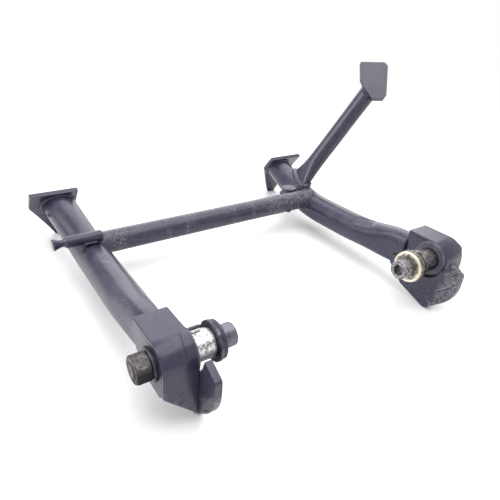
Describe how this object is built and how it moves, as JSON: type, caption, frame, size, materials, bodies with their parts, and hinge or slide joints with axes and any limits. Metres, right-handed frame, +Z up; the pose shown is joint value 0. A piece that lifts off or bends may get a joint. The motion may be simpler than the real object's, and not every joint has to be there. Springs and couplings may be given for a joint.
{
  "type": "motorcycle centre stand",
  "caption": "Two-legged motorcycle centre stand with bolted pivots, stop lugs, rocker feet, spring hook pin and foot lever.",
  "frame": {"origin": "middle of the pivot axis", "axes": "+X along the pivot axis to the side that carries the foot lever, +Y from the pivots to the feet, +Z up as it rests on a floor"},
  "size_m": [0.4115, 0.3339, 0.1977],
  "materials": {
    "paint_black": "gloss",
    "bare_steel": "satin",
    "zinc_plate": "satin",
    "black_steel": "satin",
    "seal_rubber": "matte",
    "bush_plastic": "matte"
  },
  "bodies": {
    "stand": {"left_leg": "paint_black", "left_foot": "paint_black", "left_strap": "paint_black", "left_outer_cheek": "paint_black", "left_inner_cheek": "paint_black", "left_stop_lug": "paint_black", "left_bearing_tube": "bare_steel", "left_bush": "bush_plastic", "left_dust_seal": "seal_rubber", "right_leg": "paint_black", "right_foot": "paint_black", "right_strap": "paint_black", "right_outer_cheek": "paint_black", "right_inner_cheek": "paint_black", "right_stop_lug": "paint_black", "right_bearing_tube": "bare_steel", "right_bush": "bush_plastic", "right_dust_seal": "seal_rubber", "cross_tube": "paint_black", "spring_hook_pin": "paint_black", "foot_lever": "paint_black", "lever_pedal": "paint_black", "joint_boss": "paint_black"},
    "left_pivot_pin": {"left_sleeve": "bare_steel", "left_head_washer_1": "zinc_plate", "left_head_washer_2": "zinc_plate", "left_bolt": "black_steel", "left_nut": "bare_steel", "left_nut_washer": "bare_steel"},
    "right_pivot_pin": {"right_sleeve": "bare_steel", "right_head_washer_1": "zinc_plate", "right_head_washer_2": "zinc_plate", "right_bolt": "black_steel", "right_nut": "bare_steel", "right_nut_washer": "bare_steel", "right_sleeve_ring": "bare_steel"}
  },
  "joints": [
    {"name": "left_pivot_turn", "type": "hinge", "parent": "stand", "child": "left_pivot_pin", "pos_m": [0, 0, 0], "axis": [1, 0, 0], "continuous": true},
    {"name": "right_pivot_turn", "type": "hinge", "parent": "stand", "child": "right_pivot_pin", "pos_m": [0, 0, 0], "axis": [1, 0, 0], "continuous": true}
  ]
}
